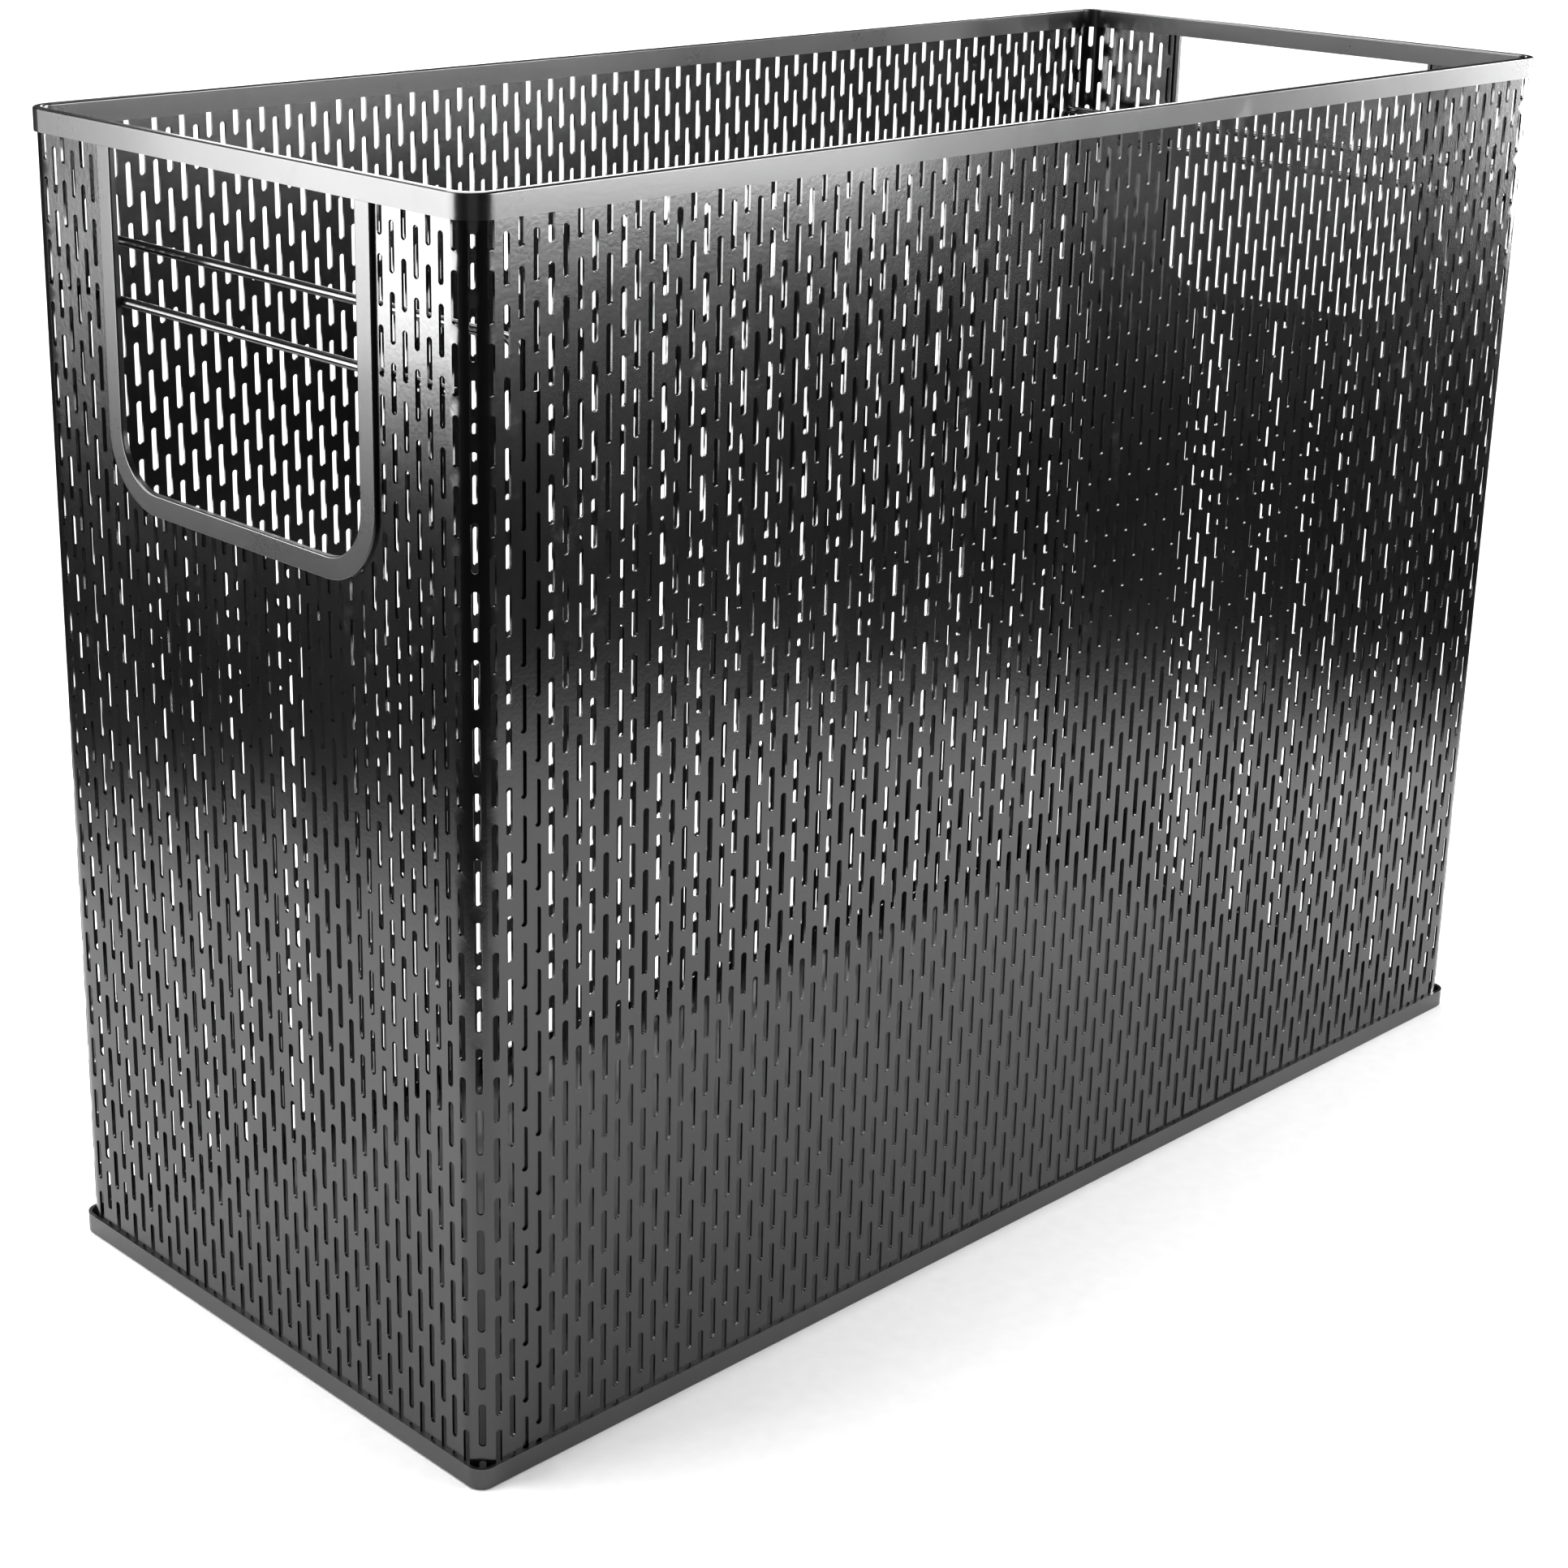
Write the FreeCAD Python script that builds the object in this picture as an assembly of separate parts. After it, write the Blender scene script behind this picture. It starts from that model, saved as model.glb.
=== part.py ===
import FreeCAD, Part
import os

os.makedirs("parts", exist_ok=True)

# A desktop hanging-file box, in millimetres. A punched steel sheet is wrapped
# into an open-topped box, stands in a shallow base pan, and is finished by a
# folded rim. The origin is on the floor under the middle of the box. +X runs
# along the long side, and the lap seam is at the -X end of the front (-Y) wall.

# Overall sizes
length = 338.0        # over the outer faces of the two end walls
width = 140.0         # over the outer faces of the front and back walls
height = 254.0        # from the floor to the top of the rim

# Punched wrap sheet
sheet = 0.5           # thickness
bend_radius = 5.5     # outside radius of the four upright bends
lap_start = 10.0      # from the left end's outer face to the lap's near edge
lap_width = 7.0       # overlap of the sheet's two ends
lap_relief = 0.6      # gap between the tab's top and the rail leg that it clears

# Folded rim channel
rim_gauge = 0.7
rim_height = 4.8
rim_edge = 0.45       # rounding of the rim's two top edges

# Base pan
pan_gauge = 0.8
pan_flange = 4.8      # from the floor to the top of the flange
pan_radius = 3.5      # outside corner radius, tighter than the wrap's bends
pan_edge = 0.6        # rounding of the pan's lower edge

# Hand windows, one in each end wall
window_width = 78.0   # clear width between the trim's lips
window_depth = 72.4   # from the top of the rim to the clear lower edge
window_radius = 11.0  # clear radius of the two lower corners
trim_width = 4.5      # face width of the trim band
trim_gauge = 0.8
trim_edge = 0.3       # rounding of the trim's outer edges

# Wires: a hanging rail and a brace at each end
wire = 2.0            # diameter of both
rail_inset = 11.5     # from the end wall's outer face to the rail's centre
rail_drop = 26.7      # from the top of the rim to the rail's centre
rail_leg = 9.0        # from the rail's centre down to the end of each leg
rail_bend = 2.4       # centre-line radius where the wire turns down
brace_drop = 35.5     # from the top of the rim to the brace's centre

half_length = length / 2
half_width = width / 2
wall_foot = pan_gauge                  # the sheet stands on the pan's floor
wall_head = height - rim_gauge         # and ends under the rim's top
rim_foot = height - rim_height
window_foot = height - window_depth
UP = FreeCAD.Vector(0, 0, 1)


def point(x, y, z=0.0):
    return FreeCAD.Vector(x, y, z)


def block(x0, x1, y0, y1, z0, z1):
    """A box between two opposite corners."""
    return Part.makeBox(x1 - x0, y1 - y0, z1 - z0, point(x0, y0, z0))


def quarter(cx, cy, radius, start, z):
    """A quarter circle about (cx, cy), turning left from the start angle."""
    return Part.makeCircle(radius, point(cx, cy, z), UP, start, start + 90)


def rounded_block(half_x, half_y, radius, z0, z1):
    """An upright prism over a rectangle with rounded corners."""
    ix, iy = half_x - radius, half_y - radius
    edges = [
        quarter(ix, iy, radius, 0, z0),
        Part.makeLine(point(ix, half_y, z0), point(-ix, half_y, z0)),
        quarter(-ix, iy, radius, 90, z0),
        Part.makeLine(point(-half_x, iy, z0), point(-half_x, -iy, z0)),
        quarter(-ix, -iy, radius, 180, z0),
        Part.makeLine(point(-ix, -half_y, z0), point(ix, -half_y, z0)),
        quarter(ix, -iy, radius, 270, z0),
        Part.makeLine(point(half_x, -iy, z0), point(half_x, iy, z0)),
    ]
    return Part.Face(Part.Wire(edges)).extrude(point(0, 0, z1 - z0))


def box_prism(offset, radius, z0, z1):
    """A rounded prism that stands the offset outside the wrap's outer faces."""
    return rounded_block(half_length + offset, half_width + offset, radius, z0, z1)


def level_edges(shape, z):
    """The edges that lie flat at height z."""
    boxes = [(edge, edge.BoundBox) for edge in shape.Edges]
    return [edge for edge, box in boxes if abs(box.ZMin - z) + abs(box.ZMax - z) < 1e-6]


def long_wall(side):
    """The flat front (side -1) or back (side 1) of the wrap."""
    run = half_length - bend_radius
    inner = side * (half_width - sheet)
    outer = side * half_width
    return block(-run, run, min(inner, outer), max(inner, outer), wall_foot, wall_head)


def window_prism(grow, x0, x1):
    """The window's shape, larger all round by grow, between two X places.

    It is open upwards as far as the rim's lower edge.
    """
    half = window_width / 2 + grow
    radius = window_radius + grow
    foot = window_foot - grow
    bend = foot + radius
    turn = radius * (1 - 0.5 ** 0.5)
    left_arc = Part.Arc(
        point(x0, -half, bend),
        point(x0, -half + turn, foot + turn),
        point(x0, -half + radius, foot))
    right_arc = Part.Arc(
        point(x0, half - radius, foot),
        point(x0, half - turn, foot + turn),
        point(x0, half, bend))
    edges = [
        Part.makeLine(point(x0, -half, rim_foot), point(x0, -half, bend)),
        left_arc.toShape(),
        Part.makeLine(point(x0, -half + radius, foot), point(x0, half - radius, foot)),
        right_arc.toShape(),
        Part.makeLine(point(x0, half, bend), point(x0, half, rim_foot)),
        Part.makeLine(point(x0, half, rim_foot), point(x0, -half, rim_foot)),
    ]
    return Part.Face(Part.Wire(edges)).extrude(point(x1 - x0, 0, 0))


def at_end(shape, side):
    """Keep a shape made at the left end (side -1), or turn it to the right end."""
    if side < 0:
        return shape
    return shape.mirror(point(0, 0, 0), point(1, 0, 0))


def end_wall(side):
    """A flat end of the wrap with its hand window, whose cut edge the trim lines."""
    run = half_width - bend_radius
    inside = -half_length + sheet
    wall = block(-half_length, inside, -run, run, wall_foot, wall_head)
    window = window_prism(trim_gauge, -half_length, inside)
    return at_end(wall.cut(window), side)


def wall_bend(side_x, side_y):
    """One upright bend of the wrap, a quarter of a tube."""
    cx = side_x * (half_length - bend_radius)
    cy = side_y * (half_width - bend_radius)
    tall = wall_head - wall_foot
    start = {(1, 1): 0, (-1, 1): 90, (-1, -1): 180, (1, -1): 270}[(side_x, side_y)]
    outer = Part.makeCylinder(bend_radius, tall, point(cx, cy, wall_foot), UP, 90)
    inner = Part.makeCylinder(bend_radius - sheet, tall, point(cx, cy, wall_foot), UP, 90)
    bend = outer.cut(inner)
    bend.rotate(point(cx, cy), UP, start)
    return bend


def lap_tab():
    """The sheet's hidden end, welded behind the front wall at the lap seam.

    It stops short of the hanging rail's leg, which stands on the same wall.
    """
    x0 = -half_length + lap_start
    y0 = -half_width + sheet
    top = height - rail_drop - rail_leg - lap_relief
    return block(x0, x0 + lap_width, y0, y0 + sheet, wall_foot, top)


def rim_channel():
    """One channel folded over the sheet's top edge all the way round."""
    hole_radius = bend_radius - sheet - rim_gauge
    ring = box_prism(rim_gauge, bend_radius + rim_gauge, rim_foot, height)
    ring = ring.cut(box_prism(-sheet - rim_gauge, hole_radius, rim_foot, height))
    groove = box_prism(0, bend_radius, rim_foot, wall_head)
    groove = groove.cut(box_prism(-sheet, bend_radius - sheet, rim_foot, wall_head))
    ring = ring.cut(groove)
    return ring.makeFillet(rim_edge, level_edges(ring, height))


def base_pan():
    """A pressed tray whose flange stands round the foot of the walls."""
    pan = box_prism(pan_gauge, pan_radius, 0, pan_flange)
    pan = pan.cut(box_prism(0, pan_radius - pan_gauge, pan_gauge, pan_flange))
    return pan.makeFillet(pan_edge, level_edges(pan, 0))


def window_trim(side):
    """A U-shaped band round the window, with a lip that lines the cut edge."""
    face = -half_length
    band = window_prism(trim_width, face - trim_gauge, face)
    lip = window_prism(trim_gauge, face, face + sheet)
    trim = band.fuse(lip).removeSplitter()
    hole = window_prism(0, face - trim_gauge, face + sheet)
    trim = trim.cut(hole)
    outline = []
    for edge in trim.Edges:
        box = edge.BoundBox
        on_face = box.XMax < face - trim_gauge + 1e-6
        under_rim = box.ZMin > rim_foot - 1e-6
        if on_face and not under_rim:
            outline.append(edge)
    return at_end(trim.makeFillet(trim_edge, outline), side)


def hanging_rail(side):
    """A wire from wall to wall, with its ends turned down against the walls."""
    x = -half_length + rail_inset
    z = height - rail_drop
    reach = half_width - sheet - wire / 2
    foot = z - rail_leg
    turn = rail_bend * (1 - 0.5 ** 0.5)
    arc_a = Part.Arc(
        point(x, -reach, z - rail_bend),
        point(x, -reach + turn, z - turn),
        point(x, -reach + rail_bend, z))
    arc_b = Part.Arc(
        point(x, reach - rail_bend, z),
        point(x, reach - turn, z - turn),
        point(x, reach, z - rail_bend))
    path = Part.Wire([
        Part.makeLine(point(x, -reach, foot), point(x, -reach, z - rail_bend)),
        arc_a.toShape(),
        Part.makeLine(point(x, -reach + rail_bend, z), point(x, reach - rail_bend, z)),
        arc_b.toShape(),
        Part.makeLine(point(x, reach, z - rail_bend), point(x, reach, foot)),
    ])
    section = Part.Wire([Part.makeCircle(wire / 2, point(x, -reach, foot), UP)])
    return at_end(path.makePipeShell([section], True, True), side)


def window_brace(side):
    """A straight wire welded along the inner face of the end wall."""
    x = -half_length + sheet + wire / 2
    run = half_width - bend_radius
    brace = Part.makeCylinder(
        wire / 2, 2 * run, point(x, -run, height - brace_drop), point(0, 1, 0))
    return at_end(brace, side)


def save(name, shape):
    print(name, len(shape.Solids), "solid,", round(shape.Volume, 1), "mm3")
    shape.exportStep("parts/" + name + ".step")


LONG_SIDES = {"front": -1, "back": 1}
ENDS = {"left": -1, "right": 1}

for name, side in LONG_SIDES.items():
    save("wrap_" + name + "_wall", long_wall(side))
for name, side in ENDS.items():
    save("wrap_" + name + "_end", end_wall(side))
    save(name + "_window_trim", window_trim(side))
    save(name + "_hanging_rail", hanging_rail(side))
    save(name + "_window_brace", window_brace(side))
for long_name, side_y in LONG_SIDES.items():
    for end_name, side_x in ENDS.items():
        save("wrap_" + long_name + "_" + end_name + "_bend", wall_bend(side_x, side_y))
save("wrap_lap_tab", lap_tab())
save("rim_channel", rim_channel())
save("base_pan", base_pan())
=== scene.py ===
# %% [markdown]
# # A desktop file box of punched steel
#
# The box is a sheet of thin steel, punched all over with upright slots, bent
# round four corners and lapped to itself. It stands in a shallow pressed pan,
# a folded channel closes its top edge, and wires at both ends carry hanging
# files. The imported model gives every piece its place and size. This script
# keeps the rim, the pan, the trims and the wires as they are, gives them their
# paint, and models the punched sheet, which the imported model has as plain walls.

# %% The frame
import math

import bpy
from mathutils import Matrix, Vector


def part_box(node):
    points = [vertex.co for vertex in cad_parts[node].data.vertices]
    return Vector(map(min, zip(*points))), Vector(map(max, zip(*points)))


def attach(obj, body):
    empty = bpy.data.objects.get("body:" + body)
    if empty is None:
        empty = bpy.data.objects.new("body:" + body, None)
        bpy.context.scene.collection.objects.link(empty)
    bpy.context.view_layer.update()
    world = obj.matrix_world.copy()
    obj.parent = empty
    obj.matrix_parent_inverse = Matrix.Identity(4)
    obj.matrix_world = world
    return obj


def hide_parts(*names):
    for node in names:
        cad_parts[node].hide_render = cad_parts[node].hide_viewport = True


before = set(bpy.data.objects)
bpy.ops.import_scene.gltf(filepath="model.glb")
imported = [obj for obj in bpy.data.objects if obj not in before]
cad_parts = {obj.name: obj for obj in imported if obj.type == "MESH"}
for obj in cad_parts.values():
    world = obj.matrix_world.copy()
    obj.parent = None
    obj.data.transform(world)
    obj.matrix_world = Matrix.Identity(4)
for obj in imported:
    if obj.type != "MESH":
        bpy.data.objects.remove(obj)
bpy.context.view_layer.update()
print("nodes:", ", ".join(sorted(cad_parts)))

# %% [markdown]
# ## Sizes read from the frame
#
# Everything below is in metres. The wall nodes say how large the bare sheet is,
# how thick it is and how tight its bends are, so nothing is typed in twice.

# %% Sizes of the sheet
MM = 0.001
MERGE = 0.01 * MM                     # points nearer than this are one point

front_low, front_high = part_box("wrap_front_wall")
trim_low, trim_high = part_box("left_window_trim")
end_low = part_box("wrap_left_end")[0]
tab_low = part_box("wrap_lap_tab")[0]
rim_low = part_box("rim_channel")[0]

HALF_LENGTH = -end_low.x              # to the outer face of an end wall
HALF_WIDTH = -front_low.y             # to the outer face of the front wall
SHEET = front_high.y - front_low.y
BEND = HALF_LENGTH - front_high.x     # outside radius of the upright bends
FOOT, HEAD = front_low.z, front_high.z
RIM_FOOT = rim_low.z
LAP_X = tab_low.x                     # where the sheet's outer end is lapped
print("half length", round(HALF_LENGTH, 4), "half width", round(HALF_WIDTH, 4))
print("sheet", round(SHEET, 5), "bend", round(BEND, 5))

# %% [markdown]
# ## The punching
#
# The slots are obround, half an inch from one to the next up each column, and
# each column stands half a step above its neighbour. The columns are spread so
# that a whole number of pairs goes once round the box, as a sheet maker would
# choose a blank. Pairs matter, because two columns make one repeat.

# %% Slot pattern
ROW = 12.7 * MM                       # step from slot to slot up a column
SLOT_LONG = 9.5 * MM
SLOT_WIDE = 1.52 * MM
COLUMN_PAIRS = 139                    # pairs of columns once round the box
SLOT_CORNERS = 12                     # points of a slot's outline
SPARE_ROWS = 2                        # rows that the shears take off again
BENDS = 4                             # upright bends round the box

CORNER_RUN = math.pi / 2 * BEND
FRONT_RUN = HALF_LENGTH - BEND - LAP_X
LONG_RUN = 2 * (HALF_LENGTH - BEND)
END_RUN = 2 * (HALF_WIDTH - BEND)
WRAP_RUN = 2 * LONG_RUN + 2 * END_RUN + BENDS * CORNER_RUN
COLUMN = WRAP_RUN / (2 * COLUMN_PAIRS)
NEAR_SIDE = 0.49 * COLUMN             # beyond this a point is on the web's side
ROWS = math.ceil((HEAD - FOOT) / ROW) + SPARE_ROWS
print("columns", 2 * COLUMN_PAIRS, "at", round(COLUMN / MM, 3), "mm, rows", ROWS)

# %% [markdown]
# ## Small helpers
#
# An operator acts on whatever is selected, so every step starts from an empty
# selection. Faces are picked by where their middles are. A finished piece gets
# smooth shading that stops at real edges.

# %% Selection and finishing
SMOOTH_ANGLE = 30                     # degrees; sharper edges stay crisp


def only(piece):
    """Make one object the only selected and active one."""
    bpy.ops.object.select_all(action="DESELECT")
    piece.select_set(True)
    bpy.context.view_layer.objects.active = piece


def pick(piece, wanted, kind="FACE"):
    """In edit mode, select the faces or vertices whose place passes the test."""
    bpy.ops.mesh.select_mode(type=kind)
    bpy.ops.mesh.select_all(action="DESELECT")
    bpy.ops.object.mode_set(mode="OBJECT")
    mesh = piece.data
    for item in mesh.polygons if kind == "FACE" else mesh.vertices:
        item.select = bool(wanted(item.center if kind == "FACE" else item.co))
    bpy.ops.object.mode_set(mode="EDIT")


def apply_all(piece):
    """Apply the piece's modifiers in their order."""
    only(piece)
    for modifier in list(piece.modifiers):
        bpy.ops.object.modifier_apply(modifier=modifier.name)


def finish_piece(piece, material, slot, *nodes):
    """Shade, paint and attach a piece that stands for some CAD nodes, and hide those nodes."""
    only(piece)
    bpy.ops.object.shade_smooth_by_angle(angle=math.radians(SMOOTH_ANGLE))
    piece.data.materials.clear()
    piece.data.materials.append(material)
    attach(piece, "root")
    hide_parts(*nodes)


# %% [markdown]
# ## Writing shaders as sums
#
# A wrapped socket lets a line such as `0.2 + 0.1 * grain` add the Math nodes.
# Any other node comes from one method, which sets the node up first and then
# fills in or links its inputs.

# %% Shader maths


class Wire:
    """An output socket that takes part in Python sums and products."""

    def __init__(self, paint, socket):
        self.paint, self.socket = paint, socket

    def maths(self, operation, first, second):
        inputs = {0: first, 1: second}
        return self.paint.node("ShaderNodeMath", {"operation": operation}, inputs)

    def __add__(self, other):
        return self.maths("ADD", self, other)

    def __mul__(self, other):
        return self.maths("MULTIPLY", self, other)

    __radd__ = __add__
    __rmul__ = __mul__


class Paint:
    """A material under construction."""

    def __init__(self, name):
        self.material = bpy.data.materials.new(name)
        self.material.use_nodes = True
        self.tree = self.material.node_tree
        self.tree.nodes.clear()

    def node(self, kind, settings=None, inputs=None, out=0):
        """Add a node: its settings first, then its inputs' values or links."""
        made = self.tree.nodes.new(kind)
        for name, value in (settings or {}).items():
            if name == "stops":
                set_stops(made.color_ramp, value)
            else:
                setattr(made, name, value)
        for name, value in (inputs or {}).items():
            if isinstance(value, Wire):
                self.tree.links.new(value.socket, made.inputs[name])
            else:
                made.inputs[name].default_value = value
        return Wire(self, made.outputs[out])

    def place(self):
        """Object coordinates in metres."""
        return self.node("ShaderNodeTexCoord", out="Object")

    def noise(self, place, size, detail, rough=0.5):
        """Soft noise from 0 to 1 whose blotches are about the given size."""
        inputs = {"Vector": place, "Scale": 1 / size, "Detail": detail, "Roughness": rough}
        return self.node("ShaderNodeTexNoise", {}, inputs)

    def ramp(self, value, stops):
        """A value through a black-and-white or coloured ramp."""
        return self.node("ShaderNodeValToRGB", {"stops": stops}, {"Fac": value})

    def finish(self, **inputs):
        """The surface shader and the output."""
        named = {name.replace("_", " "): value for name, value in inputs.items()}
        shader = self.node("ShaderNodeBsdfPrincipled", {}, named)
        output = self.tree.nodes.new("ShaderNodeOutputMaterial")
        self.tree.links.new(shader.socket, output.inputs["Surface"])
        return self.material


def set_stops(ramp, stops):
    """Give a colour ramp its (position, colour) stops."""
    while len(ramp.elements) < len(stops):
        ramp.elements.new(1.0)
    for element, (position, colour) in zip(ramp.elements, stops):
        element.position = position
        element.color = (*colour, 1.0)


# %% [markdown]
# ## Gloss black enamel
#
# The real box is dipped or sprayed in black enamel and baked. Such paint is
# nearly black, and all that the eye reads is its reflection, so the work is in
# the roughness and the surface. Two bumps are laid on one another: the fine
# dimpling of sprayed enamel, and the slow waves of thin sheet that has been
# punched and bent. A little dust lifts the roughness in soft patches, and small
# rubbed spots, where files and hands have touched, are duller and a shade paler.

# %% Enamel
DUST_PATCH = 35 * MM
RUBBED_SPOT = 9 * MM
SPRAY_GRAIN = 0.9 * MM
SHEET_WAVE = 70 * MM
WAVE_HEIGHT, GRAIN_HEIGHT = 2.0 * MM, 0.02 * MM
DIMPLES = 0.5                         # strength of the spray's dimpling
BLACK, WHITE = (0, 0, 0), (1, 1, 1)


def enamel(name, colour, gloss, waves):
    """Black enamel. Gloss is the middle roughness, and waves the sheet's ripple."""
    paint = Paint(name)
    place = paint.place()
    dust = paint.noise(place, DUST_PATCH, 3.0, 0.6)
    grain = paint.noise(place, SPRAY_GRAIN, 2.0, 0.6)
    ripple = paint.noise(place, SHEET_WAVE, 1.0, 0.4)
    spots = paint.noise(place, RUBBED_SPOT, 4.0, 0.7)
    rubbed = paint.ramp(spots, [(0.60, BLACK), (0.78, WHITE)])
    tint = paint.ramp(
        dust + 0.35 * rubbed, [(0.3, colour), (0.95, [1.9 * part for part in colour])])
    roughness = gloss - 0.03 + 0.07 * dust + 0.02 * grain + 0.08 * rubbed
    slow = paint.node(
        "ShaderNodeBump", {},
        {"Strength": waves, "Distance": WAVE_HEIGHT, "Height": ripple})
    fine = paint.node(
        "ShaderNodeBump", {},
        {"Strength": DIMPLES, "Distance": GRAIN_HEIGHT, "Height": grain, "Normal": slow})
    return paint.finish(
        Base_Color=tint, Roughness=roughness, Normal=fine,
        IOR=1.85, Coat_Weight=0.2, Coat_Roughness=0.08)


SHEET_PAINT = enamel("sheet_enamel", (0.006, 0.006, 0.0063), 0.17, 0.35)
# The rim and trim enamel is the sheet's black with a paler base colour: a painted sheen for the
# light that the rim's rounded fold catches.
RIM_SHEEN_PAINT = enamel("rim_enamel_painted_sheen", (0.018, 0.018, 0.0185), 0.27, 0.10)
PAN_PAINT = enamel("pan_enamel", (0.016, 0.016, 0.0165), 0.30, 0.10)
WIRE_PAINT = enamel("wire_enamel", (0.012, 0.012, 0.0125), 0.18, 0.0)
print("paints:", [m.name for m in bpy.data.materials])

# %% [markdown]
# ## Painting the imported nodes
#
# The rim, the pan, the window trims, the wires and the hidden tab behind the
# lap already have their true shape. They only need their paint.

# %% Paint on the CAD nodes
# The rim and the window trims take the paler enamel with its painted sheen.
NODE_PAINT = {"rim_channel": RIM_SHEEN_PAINT, "base_pan": PAN_PAINT, "wrap_lap_tab": SHEET_PAINT}
for end in ("left", "right"):
    NODE_PAINT[end + "_window_trim"] = RIM_SHEEN_PAINT
    NODE_PAINT[end + "_hanging_rail"] = WIRE_PAINT
    NODE_PAINT[end + "_window_brace"] = WIRE_PAINT
for node_name, material in NODE_PAINT.items():
    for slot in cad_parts[node_name].material_slots:
        slot.material = material
print("painted", len(NODE_PAINT), "nodes")

# %% [markdown]
# ## One slot
#
# On the real sheet a punch takes out one slot and leaves a web round it. Here
# the web of one slot is a rectangle with an obround hole. The hole starts as a
# circle whose upper half is moved up and lower half down. The rectangle's sides
# get a point half way up, because that is where the corners of the
# neighbouring, staggered column come. Fill then spans the two outlines.

# %% The web round one slot


def one_slot():
    """A flat web, one column wide and one row tall, round an obround hole."""
    bpy.ops.object.select_all(action="DESELECT")
    bpy.ops.mesh.primitive_circle_add(
        vertices=SLOT_CORNERS, radius=SLOT_WIDE / 2, fill_type="NOTHING",
        rotation=(math.pi / 2, 0, 0))
    web = bpy.context.object
    bpy.ops.object.transform_apply(location=False, rotation=True, scale=False)
    bpy.ops.object.mode_set(mode="EDIT")
    bpy.ops.mesh.select_all(action="SELECT")
    bpy.ops.transform.rotate(
        value=math.pi / SLOT_CORNERS, orient_axis="Y", center_override=(0, 0, 0))
    stretch = (SLOT_LONG - SLOT_WIDE) / 2
    pick(web, lambda co: co.z > 0, "VERT")
    bpy.ops.transform.translate(value=(0, 0, stretch))
    pick(web, lambda co: co.z < 0, "VERT")
    bpy.ops.transform.translate(value=(0, 0, -stretch))
    bpy.ops.mesh.select_all(action="DESELECT")
    bpy.ops.mesh.primitive_plane_add(size=1, rotation=(math.pi / 2, 0, 0))
    bpy.ops.transform.resize(value=(COLUMN, 1, ROW))
    bpy.ops.mesh.delete(type="ONLY_FACE")
    split_sides(web)
    bpy.ops.mesh.select_all(action="SELECT")
    bpy.ops.mesh.fill(use_beauty=True)
    bpy.ops.mesh.normals_make_consistent(inside=False)
    bpy.ops.object.mode_set(mode="OBJECT")
    if web.data.polygons[0].normal.y > 0:
        turn_over(web)
    web.name = "slot_web"
    return web


def turn_over(web):
    """Flip the web's faces, so that they look out of the front wall, to -Y."""
    bpy.ops.object.mode_set(mode="EDIT")
    bpy.ops.mesh.select_all(action="SELECT")
    bpy.ops.mesh.flip_normals()
    bpy.ops.object.mode_set(mode="OBJECT")


def split_sides(web):
    """Put a point half way up each upright side of the rectangle."""
    bpy.ops.mesh.select_mode(type="EDGE")
    bpy.ops.mesh.select_all(action="DESELECT")
    bpy.ops.object.mode_set(mode="OBJECT")
    points = web.data.vertices
    for edge in web.data.edges:
        a, b = (points[i].co for i in edge.vertices)
        edge.select = min(abs(a.x), abs(b.x)) > NEAR_SIDE and a.x * b.x > 0
    bpy.ops.object.mode_set(mode="EDIT")
    bpy.ops.mesh.subdivide(number_cuts=1)


web = one_slot()
print("web:", len(web.data.vertices), "points,", len(web.data.polygons), "faces")

# %% [markdown]
# ## A pair of columns, and the sheet
#
# A copy of the web, one column along and half a row up, makes the repeat. Two
# Array modifiers set it out along the sheet and up it, merging the points that
# meet. The blank is then trimmed to the wall's height with bisect, which cuts
# through the slots at the top and bottom as the shears do.

# %% The repeat


def make_repeat(web):
    """Two staggered webs, whose left side stands at x = 0."""
    only(web)
    bpy.ops.object.mode_set(mode="EDIT")
    bpy.ops.mesh.select_all(action="SELECT")
    bpy.ops.transform.translate(value=(COLUMN / 2, 0, 0))
    bpy.ops.mesh.duplicate_move(
        TRANSFORM_OT_translate={"value": (COLUMN, 0, ROW / 2)})
    bpy.ops.mesh.select_all(action="SELECT")
    bpy.ops.mesh.remove_doubles(threshold=MERGE)
    bpy.ops.object.mode_set(mode="OBJECT")


make_repeat(web)
print("repeat:", len(web.data.polygons), "faces")

# %% A flat blank


def cut(place, normal, clear=False):
    """Bisect the selected faces, and with clear remove what the normal points to."""
    bpy.ops.mesh.bisect(
        plane_co=place, plane_no=normal, clear_outer=clear, use_fill=False)


def flat_blank(name, first, last):
    """The punched sheet from one column's edge to another's, still flat.

    X is the distance round the box from the lap, and Z the height.
    """
    blank = web.copy()
    blank.data = web.data.copy()
    blank.name = name
    bpy.context.collection.objects.link(blank)
    only(blank)
    bpy.ops.object.mode_set(mode="EDIT")
    bpy.ops.mesh.select_all(action="SELECT")
    bpy.ops.transform.translate(value=(first * COLUMN, 0, FOOT - ROW / 2))
    bpy.ops.object.mode_set(mode="OBJECT")
    repeats = (((last - first) // 2, (2 * COLUMN, 0, 0)), (ROWS, (0, 0, ROW)))
    for count, step in repeats:
        array = blank.modifiers.new("array", "ARRAY")
        array.count = count
        array.use_relative_offset = False
        array.use_constant_offset = True
        array.constant_offset_displace = step
        array.use_merge_vertices = True
        array.merge_threshold = MERGE
    apply_all(blank)
    bpy.ops.object.mode_set(mode="EDIT")
    bpy.ops.mesh.select_all(action="SELECT")
    cut((0, 0, FOOT), (0, 0, -1), clear=True)
    bpy.ops.mesh.select_all(action="SELECT")
    cut((0, 0, HEAD), (0, 0, 1), clear=True)
    return blank


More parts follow.
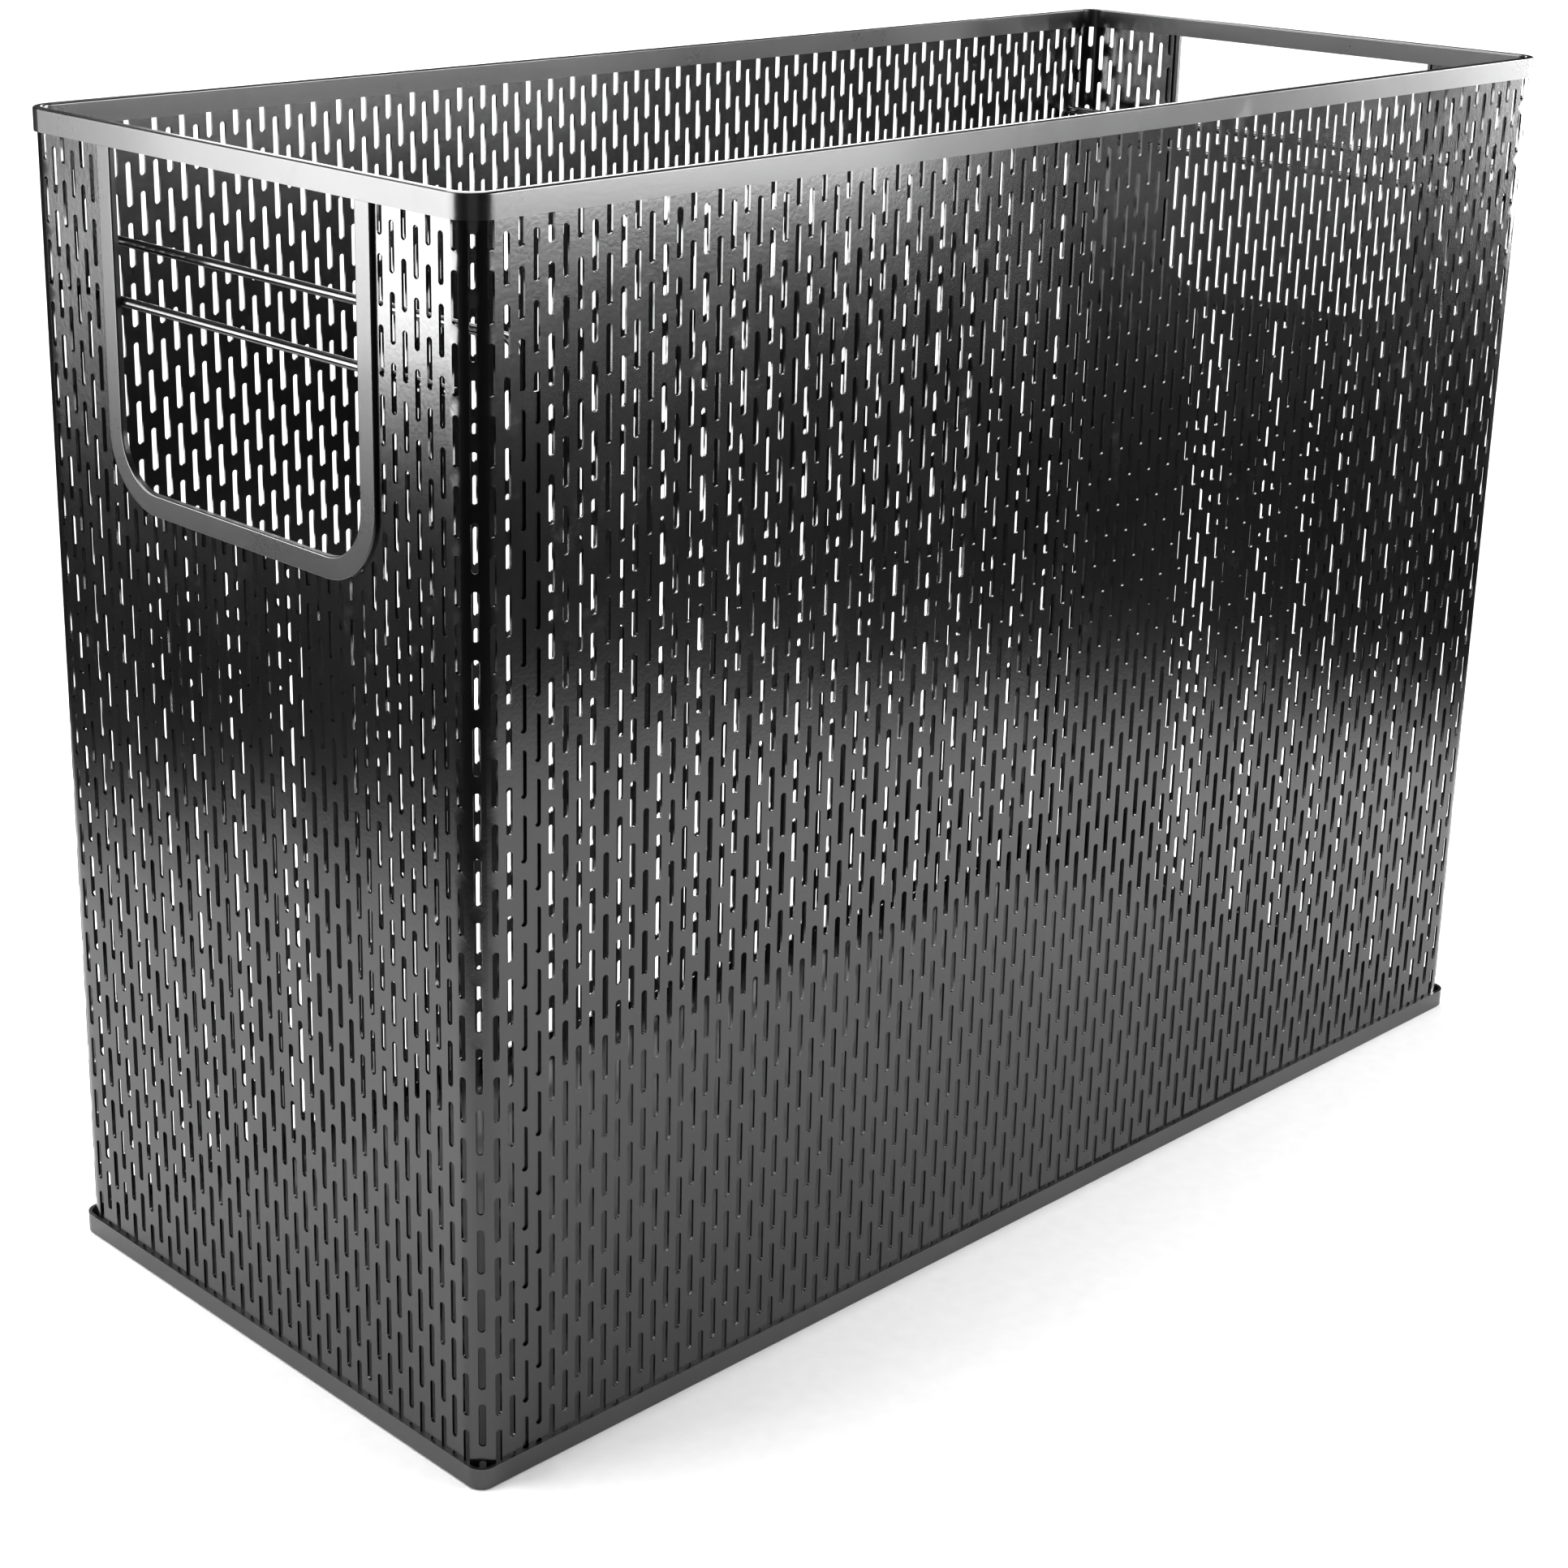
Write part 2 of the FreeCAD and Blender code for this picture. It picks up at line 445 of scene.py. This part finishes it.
# %% [markdown]
# ## Hand windows
#
# Each end wall has a hand window whose raw edge is hidden behind the trim. The
# cut only has to stay under the trim's band, so six straight cuts do: two
# sides, the lower edge, one across each rounded corner, and one inside the rim.

# %% Cutting a window
TRIM_BAND = 4.5 * MM                  # width of the band that hides the raw edge
TRIM_OUT = trim_high.y                # outer edge of the band
RAW_EDGE = TRIM_OUT - 0.6 * TRIM_BAND  # the sheet ends a little inside the middle
CLEAR_RADIUS = 11.0 * MM              # of the window's lower corners
CORNER_X = TRIM_OUT - TRIM_BAND - CLEAR_RADIUS
CORNER_Z = trim_low.z + TRIM_BAND + CLEAR_RADIUS
RAW_RADIUS = RAW_EDGE - CORNER_X
RIM_COVER = 1.5 * MM                  # how far the window runs up inside the rim


def cut_window(blank, middle):
    """Take a window out of the flat blank, centred at the given distance."""
    near = RAW_EDGE + 2 * COLUMN
    low = CORNER_Z - RAW_RADIUS
    slope = math.sqrt(0.5)
    cuts = [((middle + side * RAW_EDGE, 0, 0), (side, 0, 0)) for side in (-1, 1)]
    cuts.append(((0, 0, low), (0, 0, -1)))
    cuts.append(((0, 0, RIM_FOOT + RIM_COVER), (0, 0, 1)))
    for side in (-1, 1):
        place = (
            middle + side * (CORNER_X + slope * RAW_RADIUS), 0,
            CORNER_Z - slope * RAW_RADIUS)
        cuts.append((place, (side * slope, 0, -slope)))
    for place, normal in cuts:
        pick(blank, lambda co: abs(co.x - middle) < near and co.z > low - ROW)
        cut(place, normal)

    def inside(co):
        reaches = ((co - Vector(place)).dot(Vector(normal)) for place, normal in cuts)
        return max(reaches) < 0

    pick(blank, inside)
    bpy.ops.mesh.delete(type="FACE")


# %% [markdown]
# ## Bending the blank
#
# The real blank is folded round a mandrel at four places. A Curve modifier
# could lead the flat blank round the same path. Here each point is moved by a
# short rule instead, because the rule keeps every length on the outer face
# exact, so the last column meets the first. Before that, bisect creases each
# bend into eight strips, so that the webs between the slots turn with it.

# %% The path round the box
CORNER_STEPS = 8                      # strips that one bend is creased into

PATH = []        # of each leg: start distance, run, start place, heading, is it a bend


def lay_path():
    """Straights and bends round the box, from the lap edge on the front wall."""
    place, heading, done = Vector((LAP_X, -HALF_WIDTH, 0)), 0.0, 0.0
    for straight in (FRONT_RUN, END_RUN, LONG_RUN, END_RUN, LONG_RUN - FRONT_RUN):
        PATH.append((done, straight, place.copy(), heading, False))
        done += straight
        place += straight * Vector((math.cos(heading), math.sin(heading), 0))
        if len(PATH) < 2 * BENDS:
            PATH.append((done, CORNER_RUN, place.copy(), heading, True))
            done += CORNER_RUN
            place += bend_offset(heading, 1.0)
            heading += math.pi / 2
    print("path closes within", round((place - PATH[0][2]).length / MM, 6), "mm")


def bend_offset(heading, share):
    """How far a bend has moved a point after a share of its quarter turn."""
    turn = share * math.pi / 2
    along = BEND * math.sin(turn)
    across = BEND * (1 - math.cos(turn))
    c, s = math.cos(heading), math.sin(heading)
    return Vector((along * c - across * s, along * s + across * c, 0))


def on_path(distance):
    """The place on the outer face at a distance round the box."""
    start, run, place, heading, is_bend = PATH[0]
    for leg in PATH:
        if distance >= leg[0]:
            start, run, place, heading, is_bend = leg
    gone = distance - start
    if is_bend:
        return place + bend_offset(heading, gone / run)
    return place + gone * Vector((math.cos(heading), math.sin(heading), 0))


lay_path()

# %% Creasing, bending and thickening


def crease(blank, first, last):
    """Cut the flat blank along each bend's creases."""
    for start, run, _, _, is_bend in PATH:
        if not is_bend or start + run < first * COLUMN or start > last * COLUMN:
            continue
        for step in range(CORNER_STEPS + 1):
            x = start + run * step / CORNER_STEPS
            pick(blank, lambda co: start - COLUMN < co.x < start + run + COLUMN)
            cut((x, 0, 0), (1, 0, 0))


def bend_and_thicken(blank):
    """Lay the flat blank round the box and give it the sheet's thickness."""
    bpy.ops.object.mode_set(mode="OBJECT")
    for point in blank.data.vertices:
        place = on_path(point.co.x)
        point.co = (place.x, place.y, point.co.z)
    solidify = blank.modifiers.new("thickness", "SOLIDIFY")
    solidify.thickness = SHEET
    solidify.offset = -1
    solidify.use_even_offset = True
    apply_all(blank)


# %% The four lengths of punched sheet
END_MIDDLES = [PATH[2][0] + END_RUN / 2, PATH[6][0] + END_RUN / 2]


def even_column(distance):
    """The last even column edge before a distance round the box."""
    return 2 * math.floor(distance / COLUMN / 2)


FIRST_BENDS = [PATH[leg][0] for leg in (1, 3, 5)]
SPLITS = [0] + [even_column(start) for start in FIRST_BENDS]
SPLITS.append(2 * COLUMN_PAIRS)
LENGTHS = [
    ("punched_front", ["wrap_front_wall"]),
    ("punched_right_end", ["wrap_right_end", "wrap_front_right_bend"]),
    ("punched_back", ["wrap_back_wall", "wrap_back_right_bend"]),
    ("punched_left_end",
     ["wrap_left_end", "wrap_back_left_bend", "wrap_front_left_bend"]),
]

for (name, nodes), first, last in zip(LENGTHS, SPLITS, SPLITS[1:]):
    blank = flat_blank(name, first, last)
    for middle in END_MIDDLES:
        if first * COLUMN < middle < last * COLUMN:
            cut_window(blank, middle)
    crease(blank, first, last)
    bend_and_thicken(blank)
    finish_piece(blank, SHEET_PAINT, "punched_sheet", *nodes)
    triangles = sum(len(face.vertices) - 2 for face in blank.data.polygons)
    print(name, "columns", first, "to", last, "triangles", triangles)

bpy.data.objects.remove(web)

# %% [markdown]
# ## Studio
#
# Black gloss shows its surroundings. A round white table top lies under the
# box, so the lower part of each wall mirrors it in even grey. It fades out at
# its rim into a white room. The room is white only to the camera: a reflection
# or a shadow finds it nearly dark, which gives the deep middle of each wall.
# Tall soft panels stand round the table with their feet near its level, because
# the walls mirror what is lower than the camera.

# %% Table top
TABLE = 0.50                          # radius at which the table has faded out
TABLE_FULL = 0.34                     # radius up to which it is solid
PAPER_GRAIN = 4 * MM


def make_floor():
    """A pale round table top under the box, which fades out at its rim."""
    bpy.ops.object.select_all(action="DESELECT")
    bpy.ops.mesh.primitive_circle_add(vertices=64, radius=TABLE, fill_type="NGON")
    floor = bpy.context.object
    floor.name = "floor"
    paint = Paint("floor_paper")
    place = paint.place()
    grain = paint.noise(place, PAPER_GRAIN, 3.0)
    tone = paint.ramp(grain, [(0.2, (0.84, 0.84, 0.84)), (0.8, (0.88, 0.88, 0.88))])
    away = paint.node(
        "ShaderNodeVectorMath", {"operation": "LENGTH"}, {0: place}, out="Value")
    fade = paint.node("ShaderNodeMapRange", {"interpolation_type": "SMOOTHSTEP"}, {
        "Value": away, "From Min": TABLE_FULL, "From Max": TABLE,
        "To Min": 1.0, "To Max": 0.0})
    floor.data.materials.append(paint.finish(
        Base_Color=tone, Roughness=0.9, Specular_IOR_Level=0.1, Alpha=fade))
    print("table top: radius", TABLE, "m, fading from", TABLE_FULL, "m")


make_floor()

# %% Room
CAMERA_ROOM = 1.0                     # what the camera sees behind the box
MIRROR_ROOM = 0.035                   # what the paint mirrors between the panels


def make_room():
    """A world that is white to the camera and dim to everything else."""
    world = bpy.data.worlds.new("room")
    bpy.context.scene.world = world
    world.use_nodes = True
    nodes, links = world.node_tree.nodes, world.node_tree.links
    background = nodes["Background"]
    rays = nodes.new("ShaderNodeLightPath")
    shade = nodes.new("ShaderNodeMapRange")
    shade.inputs["To Min"].default_value = MIRROR_ROOM
    shade.inputs["To Max"].default_value = CAMERA_ROOM
    links.new(rays.outputs["Is Camera Ray"], shade.inputs["Value"])
    links.new(shade.outputs["Result"], background.inputs["Strength"])
    background.inputs["Color"].default_value = (1, 1, 1, 1)
    print("room:", CAMERA_ROOM, "to the camera,", MIRROR_ROOM, "to the paint")


make_room()

# %% Lights


def panel(name, azimuth, distance, low, high, width, power):
    """An upright soft panel round the table, unseen by the camera.

    It stands in the given direction from the box, between two heights, and
    faces the box.
    """
    turn = math.radians(azimuth)
    place = Vector((math.cos(turn), math.sin(turn), 0)) * distance
    place.z = (low + high) / 2
    lamp(name, place, (0, 0, place.z), (width, high - low), power)


def lamp(name, place, target, size, power):
    """A soft rectangular light that faces its target, unseen by the camera."""
    data = bpy.data.lights.new(name, "AREA")
    data.shape = "RECTANGLE"
    data.size, data.size_y = size
    data.energy = power
    light = bpy.data.objects.new(name, data)
    bpy.context.collection.objects.link(light)
    light.location = place
    aim = Vector(target) - Vector(place)
    light.rotation_euler = aim.to_track_quat("-Z", "Y").to_euler()
    light.visible_camera = False


lamp("top_softbox", (-0.12, 0.42, 1.3), (0, 0, 0), (1.1, 1.1), 19)
# each panel: direction in degrees, distance, foot, head, width, watts
panel("left_back_panel", 150, 1.25, -0.05, 0.75, 0.98, 17)
panel("front_panel", -61, 1.35, 0.03, 0.80, 0.72, 15)
panel("right_panel", -15, 1.35, 0.03, 0.80, 0.60, 21)
panel("back_panel", 48, 1.35, 0.02, 0.80, 0.70, 5)
panel("near_panel", 225, 1.35, 0.02, 0.80, 0.70, 0.8)
print("lights:", [light.name for light in bpy.data.lights])

# %% Picture tones
view = bpy.context.scene.view_settings
view.view_transform = "Standard"
view.look = "High Contrast"
print("tones:", view.view_transform, "/", view.look)

# %% [markdown]
# ## Camera
#
# The camera stands to the left and a little above the rim, close enough that
# the near corner looms. A small lens shift lessens the lean of the uprights.

# %% Camera
CAMERA_PLACE = Vector((-0.4808, -0.4513, 0.3340))
HEADING = -44.09                      # degrees from +Y, turning left
TILT = 71.63                          # degrees up from straight down
ROLL = 1.00
LENS = 67.0
SHIFT = (0.0497, -0.0750)


def make_camera():
    """The camera at its place, turned by its tilt, heading and roll."""
    data = bpy.data.cameras.new("camera")
    data.lens = LENS
    data.shift_x, data.shift_y = SHIFT
    camera = bpy.data.objects.new("camera", data)
    bpy.context.collection.objects.link(camera)
    bpy.context.scene.camera = camera
    turns = ((HEADING, "Z"), (TILT, "X"), (ROLL, "Z"))
    heading, tilt, roll = (Matrix.Rotation(math.radians(angle), 4, axis) for angle, axis in turns)
    camera.matrix_world = Matrix.Translation(CAMERA_PLACE) @ heading @ tilt @ roll
    print("camera:", LENS, "mm lens, at", [round(v, 3) for v in CAMERA_PLACE])


make_camera()
